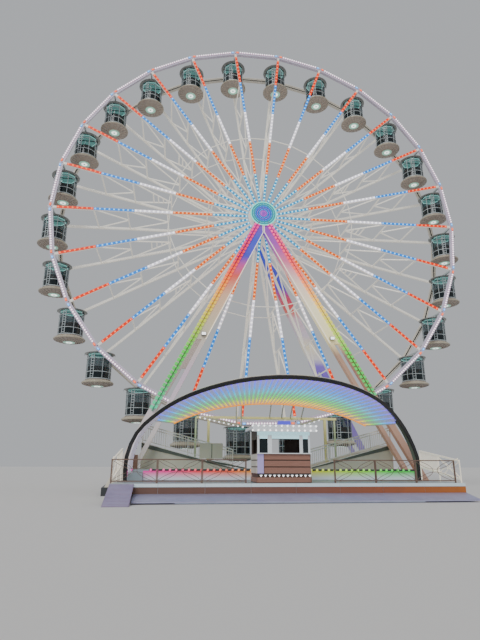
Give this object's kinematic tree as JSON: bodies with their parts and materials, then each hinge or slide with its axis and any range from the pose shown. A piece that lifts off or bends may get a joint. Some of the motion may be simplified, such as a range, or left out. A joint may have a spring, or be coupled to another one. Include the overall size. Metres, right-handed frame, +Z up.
{
  "type": "travelling ferris wheel",
  "caption": "Fairground observation wheel on four legs, with round hanging cabins that stay level, a stepped deck, ticket booth and arched canopy.",
  "frame": {"origin": "on the ground under the middle of the wheel's axle, on the underside of the cross ground beam", "axes": "+Z up, +Y away from the visitors along the axle, +X to the right seen from the front"},
  "size_m": [29.825, 16.1, 31.8868],
  "materials": {
    "hub_steel": "satin grey paint",
    "spoke_white": "semi-gloss white paint",
    "rim_white": "semi-gloss white paint",
    "rim_grey": "semi-gloss pale grey paint",
    "light_panel": "translucent lamp cover over coloured lamps",
    "leg_white": "semi-gloss white paint",
    "ground_steel": "dull dark grey paint",
    "deck_plate": "patterned tread plate",
    "ramp_plate": "ribbed plate",
    "cream_panel": "satin cream paint",
    "fence_brown": "satin brown paint",
    "rail_white": "satin white paint",
    "booth_boards": "stained boards",
    "booth_white": "glossy white",
    "arch_black": "satin black paint",
    "membrane": "coated canopy cloth",
    "portal_white": "satin white paint",
    "cabin_shell": "pearl grey-green paint"
  },
  "bodies": {
    "base": {"main_axle": "hub_steel", "hub_light": "light_panel", "leg_front_left": "leg_white", "leg_front_right": "leg_white", "leg_rear_left": "leg_white", "leg_rear_right": "leg_white", "ground_beam_left": "ground_steel", "ground_beam_right": "ground_steel", "ground_beam_cross": "ground_steel", "front_deck": "deck_plate", "upper_deck": "deck_plate", "front_apron": "deck_plate", "entry_ramp": "ramp_plate", "loading_deck_left": "cream_panel", "loading_deck_right": "cream_panel", "front_fence_left": "fence_brown", "front_fence_right": "fence_brown", "side_rail_left": "rail_white", "side_rail_right": "rail_white", "loading_rail_left": "rail_white", "loading_rail_right": "rail_white", "booth_walls": "booth_boards", "booth_roof": "booth_white", "canopy_arch": "arch_black", "canopy_membrane": "membrane", "portal_frame": "portal_white"},
    "wheel": {"hub_barrel": "hub_steel", "spoke_fan_left": "spoke_white", "spoke_fan_right": "spoke_white", "front_rim": "rim_white", "rear_rim": "rim_grey", "front_tie_ring": "spoke_white", "rear_tie_ring": "spoke_white"},
    "cabin_01": {"cabin_01": "cabin_shell"},
    "cabin_02": {"cabin_02": "cabin_shell"},
    "cabin_03": {"cabin_03": "cabin_shell"},
    "cabin_04": {"cabin_04": "cabin_shell"},
    "cabin_05": {"cabin_05": "cabin_shell"},
    "cabin_06": {"cabin_06": "cabin_shell"},
    "cabin_07": {"cabin_07": "cabin_shell"},
    "cabin_08": {"cabin_08": "cabin_shell"},
    "cabin_09": {"cabin_09": "cabin_shell"},
    "cabin_10": {"cabin_10": "cabin_shell"},
    "cabin_11": {"cabin_11": "cabin_shell"},
    "cabin_12": {"cabin_12": "cabin_shell"},
    "cabin_13": {"cabin_13": "cabin_shell"},
    "cabin_14": {"cabin_14": "cabin_shell"},
    "cabin_15": {"cabin_15": "cabin_shell"},
    "cabin_16": {"cabin_16": "cabin_shell"},
    "cabin_17": {"cabin_17": "cabin_shell"},
    "cabin_18": {"cabin_18": "cabin_shell"},
    "cabin_19": {"cabin_19": "cabin_shell"},
    "cabin_20": {"cabin_20": "cabin_shell"},
    "cabin_21": {"cabin_21": "cabin_shell"},
    "cabin_22": {"cabin_22": "cabin_shell"},
    "cabin_23": {"cabin_23": "cabin_shell"},
    "cabin_24": {"cabin_24": "cabin_shell"},
    "cabin_25": {"cabin_25": "cabin_shell"},
    "cabin_26": {"cabin_26": "cabin_shell"}
  },
  "joints": [
    {"name": "wheel_spin", "type": "hinge", "parent": "base", "child": "wheel", "pos_m": [0, 0, 17.83], "axis": [0, 1, 0], "continuous": true},
    {"name": "cabin_01_pin", "type": "hinge", "parent": "wheel", "child": "cabin_01", "pos_m": [-1.94109, 0, 31.6241], "axis": [0, 1, 0], "continuous": true},
    {"name": "cabin_02_pin", "type": "hinge", "parent": "wheel", "child": "cabin_02", "pos_m": [-5.18583, 0, 30.75873], "axis": [0, 1, 0], "continuous": true},
    {"name": "cabin_03_pin", "type": "hinge", "parent": "wheel", "child": "cabin_03", "pos_m": [-8.12918, 0, 29.142], "axis": [0, 1, 0], "continuous": true},
    {"name": "cabin_04_pin", "type": "hinge", "parent": "wheel", "child": "cabin_04", "pos_m": [-10.6001, 0, 26.86785], "axis": [0, 1, 0], "continuous": true},
    {"name": "cabin_05_pin", "type": "hinge", "parent": "wheel", "child": "cabin_05", "pos_m": [-12.45498, 0, 24.06846], "axis": [0, 1, 0], "continuous": true},
    {"name": "cabin_06_pin", "type": "hinge", "parent": "wheel", "child": "cabin_06", "pos_m": [-13.58602, 0, 20.9065], "axis": [0, 1, 0], "continuous": true},
    {"name": "cabin_07_pin", "type": "hinge", "parent": "wheel", "child": "cabin_07", "pos_m": [-13.92749, 0, 17.56576], "axis": [0, 1, 0], "continuous": true},
    {"name": "cabin_08_pin", "type": "hinge", "parent": "wheel", "child": "cabin_08", "pos_m": [-13.45955, 0, 14.24037], "axis": [0, 1, 0], "continuous": true},
    {"name": "cabin_09_pin", "type": "hinge", "parent": "wheel", "child": "cabin_09", "pos_m": [-12.20938, 0, 11.1236], "axis": [0, 1, 0], "continuous": true},
    {"name": "cabin_10_pin", "type": "hinge", "parent": "wheel", "child": "cabin_10", "pos_m": [-10.24965, 0, 8.39658], "axis": [0, 1, 0], "continuous": true},
    {"name": "cabin_11_pin", "type": "hinge", "parent": "wheel", "child": "cabin_11", "pos_m": [-7.69425, 0, 6.21779], "axis": [0, 1, 0], "continuous": true},
    {"name": "cabin_12_pin", "type": "hinge", "parent": "wheel", "child": "cabin_12", "pos_m": [-4.69169, 0, 4.71387], "axis": [0, 1, 0], "continuous": true},
    {"name": "cabin_13_pin", "type": "hinge", "parent": "wheel", "child": "cabin_13", "pos_m": [-1.41646, 0, 3.9722], "axis": [0, 1, 0], "continuous": true},
    {"name": "cabin_14_pin", "type": "hinge", "parent": "wheel", "child": "cabin_14", "pos_m": [1.94109, 0, 4.0359], "axis": [0, 1, 0], "continuous": true},
    {"name": "cabin_15_pin", "type": "hinge", "parent": "wheel", "child": "cabin_15", "pos_m": [5.18583, 0, 4.90127], "axis": [0, 1, 0], "continuous": true},
    {"name": "cabin_16_pin", "type": "hinge", "parent": "wheel", "child": "cabin_16", "pos_m": [8.12918, 0, 6.518], "axis": [0, 1, 0], "continuous": true},
    {"name": "cabin_17_pin", "type": "hinge", "parent": "wheel", "child": "cabin_17", "pos_m": [10.6001, 0, 8.79215], "axis": [0, 1, 0], "continuous": true},
    {"name": "cabin_18_pin", "type": "hinge", "parent": "wheel", "child": "cabin_18", "pos_m": [12.45498, 0, 11.59154], "axis": [0, 1, 0], "continuous": true},
    {"name": "cabin_19_pin", "type": "hinge", "parent": "wheel", "child": "cabin_19", "pos_m": [13.58602, 0, 14.7535], "axis": [0, 1, 0], "continuous": true},
    {"name": "cabin_20_pin", "type": "hinge", "parent": "wheel", "child": "cabin_20", "pos_m": [13.92749, 0, 18.09424], "axis": [0, 1, 0], "continuous": true},
    {"name": "cabin_21_pin", "type": "hinge", "parent": "wheel", "child": "cabin_21", "pos_m": [13.45955, 0, 21.41963], "axis": [0, 1, 0], "continuous": true},
    {"name": "cabin_22_pin", "type": "hinge", "parent": "wheel", "child": "cabin_22", "pos_m": [12.20938, 0, 24.5364], "axis": [0, 1, 0], "continuous": true},
    {"name": "cabin_23_pin", "type": "hinge", "parent": "wheel", "child": "cabin_23", "pos_m": [10.24965, 0, 27.26342], "axis": [0, 1, 0], "continuous": true},
    {"name": "cabin_24_pin", "type": "hinge", "parent": "wheel", "child": "cabin_24", "pos_m": [7.69425, 0, 29.44221], "axis": [0, 1, 0], "continuous": true},
    {"name": "cabin_25_pin", "type": "hinge", "parent": "wheel", "child": "cabin_25", "pos_m": [4.69169, 0, 30.94613], "axis": [0, 1, 0], "continuous": true},
    {"name": "cabin_26_pin", "type": "hinge", "parent": "wheel", "child": "cabin_26", "pos_m": [1.41646, 0, 31.6878], "axis": [0, 1, 0], "continuous": true}
  ],
  "couplings": [
    {"joint": "cabin_01_pin", "follows": "wheel_spin", "ratio": -1},
    {"joint": "cabin_02_pin", "follows": "wheel_spin", "ratio": -1},
    {"joint": "cabin_03_pin", "follows": "wheel_spin", "ratio": -1},
    {"joint": "cabin_04_pin", "follows": "wheel_spin", "ratio": -1},
    {"joint": "cabin_05_pin", "follows": "wheel_spin", "ratio": -1},
    {"joint": "cabin_06_pin", "follows": "wheel_spin", "ratio": -1},
    {"joint": "cabin_07_pin", "follows": "wheel_spin", "ratio": -1},
    {"joint": "cabin_08_pin", "follows": "wheel_spin", "ratio": -1},
    {"joint": "cabin_09_pin", "follows": "wheel_spin", "ratio": -1},
    {"joint": "cabin_10_pin", "follows": "wheel_spin", "ratio": -1},
    {"joint": "cabin_11_pin", "follows": "wheel_spin", "ratio": -1},
    {"joint": "cabin_12_pin", "follows": "wheel_spin", "ratio": -1},
    {"joint": "cabin_13_pin", "follows": "wheel_spin", "ratio": -1},
    {"joint": "cabin_14_pin", "follows": "wheel_spin", "ratio": -1},
    {"joint": "cabin_15_pin", "follows": "wheel_spin", "ratio": -1},
    {"joint": "cabin_16_pin", "follows": "wheel_spin", "ratio": -1},
    {"joint": "cabin_17_pin", "follows": "wheel_spin", "ratio": -1},
    {"joint": "cabin_18_pin", "follows": "wheel_spin", "ratio": -1},
    {"joint": "cabin_19_pin", "follows": "wheel_spin", "ratio": -1},
    {"joint": "cabin_20_pin", "follows": "wheel_spin", "ratio": -1},
    {"joint": "cabin_21_pin", "follows": "wheel_spin", "ratio": -1},
    {"joint": "cabin_22_pin", "follows": "wheel_spin", "ratio": -1},
    {"joint": "cabin_23_pin", "follows": "wheel_spin", "ratio": -1},
    {"joint": "cabin_24_pin", "follows": "wheel_spin", "ratio": -1},
    {"joint": "cabin_25_pin", "follows": "wheel_spin", "ratio": -1},
    {"joint": "cabin_26_pin", "follows": "wheel_spin", "ratio": -1}
  ]
}
